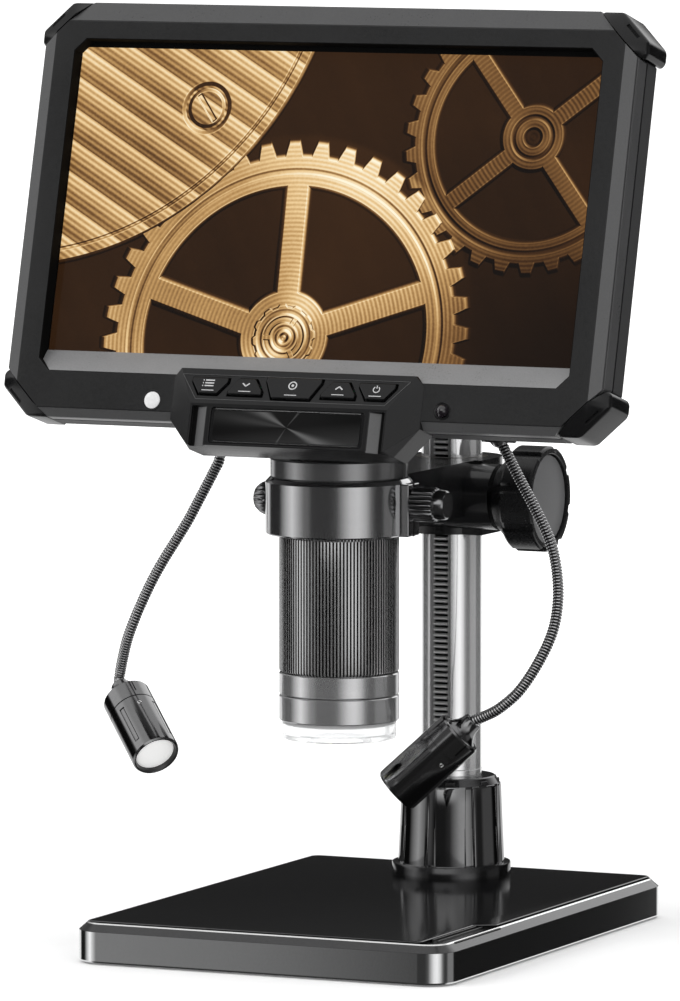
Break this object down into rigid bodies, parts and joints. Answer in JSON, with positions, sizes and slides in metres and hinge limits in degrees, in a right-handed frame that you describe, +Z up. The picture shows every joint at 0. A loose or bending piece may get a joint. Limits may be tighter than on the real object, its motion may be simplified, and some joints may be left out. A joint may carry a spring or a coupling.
{
  "type": "lcd digital microscope",
  "caption": "Digital microscope with a tilting screen, a ring lamp, two gooseneck lamps and a rack-driven carriage on a column over a flat base.",
  "frame": {"origin": "centre of the base's footprint, on the surface that its feet stand on", "axes": "+Z up, -Y towards the person who looks at the screen, +X to that person's right"},
  "size_m": [0.178, 0.151, 0.2534],
  "materials": {
    "base_side": "satin grey paint with a fine sparkle",
    "panel_gloss": "mirror-like black acrylic",
    "rubber": "matt black rubber",
    "cover_steel": "matt black paint",
    "screw_steel": "zinc plated",
    "collar_gloss": "gloss black enamel",
    "column_chrome": "polished chrome plate",
    "rack_steel": "milled steel",
    "carriage_black": "gloss black enamel",
    "bush_bronze": "plain bearing bronze",
    "knob_black": "gloss black moulding",
    "knob_cap": "dark anodised, fine turned",
    "knurl_dark": "black oxide, knurled",
    "barrel_dark": "dark anodised, polished",
    "sleeve_dark": "dark anodised, fine ribs",
    "board_green": "solder mask",
    "board_black": "black solder mask",
    "clear_cover": "clear polycarbonate",
    "lens_glass": "coated glass",
    "carrier_black": "matt black",
    "bezel_black": "fine grained black",
    "shell_black": "fine grained black",
    "bumper_black": "semi-gloss black",
    "screen": "lit display under glass",
    "lcd_grey": "display module frame",
    "battery": "pouch cell",
    "pod_black": "fine grained dark grey",
    "pod_plate": "spun dark metallic film",
    "key_black": "gloss black keys, grey marks",
    "window_white": "milky window",
    "dome_dark": "dark dome",
    "port_steel": "stamped steel",
    "bracket_steel": "black steel",
    "gooseneck_dark": "black nickel, wound",
    "lamp_dark": "gloss black anodised",
    "lamp_lens": "frosted white lens, lit"
  },
  "bodies": {
    "stand": {"base_shell": "base_side", "base_panel": "panel_gloss", "base_cover": "cover_steel", "base_feet": "rubber", "base_screws": "screw_steel", "column_collar": "collar_gloss", "column_bolt": "screw_steel", "column_rod": "column_chrome", "column_rack": "rack_steel", "column_cap": "knob_black"},
    "carriage": {"carriage_body": "carriage_black", "column_bushes": "bush_bronze", "shaft_bushes": "bush_bronze", "holder_ring": "carriage_black", "ring_screws": "screw_steel"},
    "drive": {"pinion_shaft": "screw_steel", "knob_left": "knob_black", "knob_right": "knob_black", "knob_caps": "knob_cap"},
    "clamp_right": {"clamp_screw_right": "knurl_dark"},
    "clamp_left": {"clamp_screw_left": "knurl_dark"},
    "head": {"head_housing": "barrel_dark", "lens_tube": "barrel_dark", "sensor_board": "board_green", "nose_ring_upper": "barrel_dark", "nose_ring_lower": "barrel_dark", "led_board": "board_black", "led_cover": "clear_cover"},
    "focus_ring": {"focus_sleeve": "sleeve_dark"},
    "lens": {"lens_carrier": "carrier_black", "objective_lens": "lens_glass"},
    "display": {"front_bezel": "bezel_black", "rear_shell": "shell_black", "corner_bumpers": "bumper_black", "screen_glass": "screen", "lcd_module": "lcd_grey", "main_board": "board_green", "battery_pack": "battery", "shell_screws": "screw_steel", "pod_shell": "pod_black", "pod_plate": "pod_plate", "key_board": "board_green", "light_window": "window_white", "sensor_dome": "dome_dark", "usb_port": "port_steel", "card_slot": "port_steel", "hinge_bracket": "bracket_steel", "hinge_pin": "screw_steel", "lamp_sockets": "knob_black"},
    "menu_key": {"key_menu": "key_black"},
    "down_key": {"key_down": "key_black"},
    "ok_key": {"key_ok": "key_black"},
    "up_key": {"key_up": "key_black"},
    "power_key": {"key_power": "key_black"},
    "arm_left": {"gooseneck_left": "gooseneck_dark"},
    "lamp_left": {"lamp_left_housing": "lamp_dark", "lamp_left_lens": "lamp_lens"},
    "arm_right": {"gooseneck_right": "gooseneck_dark"},
    "lamp_right": {"lamp_right_housing": "lamp_dark", "lamp_right_lens": "lamp_lens"}
  },
  "joints": [
    {"name": "focus_travel", "type": "slide", "parent": "stand", "child": "carriage", "axis": [0, 0, 1], "range_m": [-0.022, 0.06]},
    {"name": "focus_drive", "type": "hinge", "parent": "carriage", "child": "drive", "pos_m": [0, 0.0402, 0.1178], "axis": [1, 0, 0], "range_deg": [-870, 320]},
    {"name": "clamp_right_turn", "type": "hinge", "parent": "carriage", "child": "clamp_right", "pos_m": [0.025, -0.0225, 0.1214], "axis": [1, 0, 0], "range_deg": [-360, 360]},
    {"name": "clamp_left_turn", "type": "hinge", "parent": "carriage", "child": "clamp_left", "pos_m": [-0.022, -0.0225, 0.1214], "axis": [-1, 0, 0], "range_deg": [-360, 360]},
    {"name": "head_swivel", "type": "hinge", "parent": "carriage", "child": "head", "pos_m": [0, -0.0225, 0.1278], "axis": [0, 0, 1], "range_deg": [-20, 20]},
    {"name": "focus_ring_turn", "type": "hinge", "parent": "head", "child": "focus_ring", "pos_m": [0, -0.0225, 0.094], "axis": [0, 0, 1], "range_deg": [-150, 150]},
    {"name": "lens_travel", "type": "slide", "parent": "head", "child": "lens", "axis": [0, 0, 1], "range_m": [-0.006, 0.006]},
    {"name": "display_tilt", "type": "hinge", "parent": "head", "child": "display", "pos_m": [0, -0.0225, 0.1411], "axis": [-1, 0, 0], "range_deg": [-15, 20]},
    {"name": "menu_press", "type": "slide", "parent": "display", "child": "menu_key", "axis": [0, 0.8135, -0.5815], "range_m": [0, 0.0006], "stiffness_N_per_m": 200},
    {"name": "down_press", "type": "slide", "parent": "display", "child": "down_key", "axis": [0, 0.8135, -0.5815], "range_m": [0, 0.0006], "stiffness_N_per_m": 200},
    {"name": "ok_press", "type": "slide", "parent": "display", "child": "ok_key", "axis": [0, 0.8135, -0.5815], "range_m": [0, 0.0006], "stiffness_N_per_m": 200},
    {"name": "up_press", "type": "slide", "parent": "display", "child": "up_key", "axis": [0, 0.8135, -0.5815], "range_m": [0, 0.0006], "stiffness_N_per_m": 200},
    {"name": "power_press", "type": "slide", "parent": "display", "child": "power_key", "axis": [0, 0.8135, -0.5815], "range_m": [0, 0.0006], "stiffness_N_per_m": 200},
    {"name": "arm_left_swing", "type": "hinge", "parent": "display", "child": "arm_left", "pos_m": [-0.041, -0.0095, 0.1387], "axis": [1, 0, 0], "range_deg": [-20, 20]},
    {"name": "lamp_left_bend", "type": "hinge", "parent": "arm_left", "child": "lamp_left", "pos_m": [-0.0743, -0.0046, 0.0661], "axis": [0, -1, 0], "range_deg": [-25, 20], "deforming": ["gooseneck_left"]},
    {"name": "arm_right_swing", "type": "hinge", "parent": "display", "child": "arm_right", "pos_m": [0.041, -0.0095, 0.1387], "axis": [1, 0, 0], "range_deg": [-20, 20]},
    {"name": "lamp_right_bend", "type": "hinge", "parent": "arm_right", "child": "lamp_right", "pos_m": [0.0326, -0.007, 0.062], "axis": [0, 1, 0], "range_deg": [-30, 8], "deforming": ["gooseneck_right"]}
  ],
  "couplings": [
    {"joint": "focus_drive", "follows": "focus_travel", "rad_per_m": -250},
    {"joint": "focus_ring_turn", "follows": "lens_travel", "rad_per_m": 434.78}
  ]
}
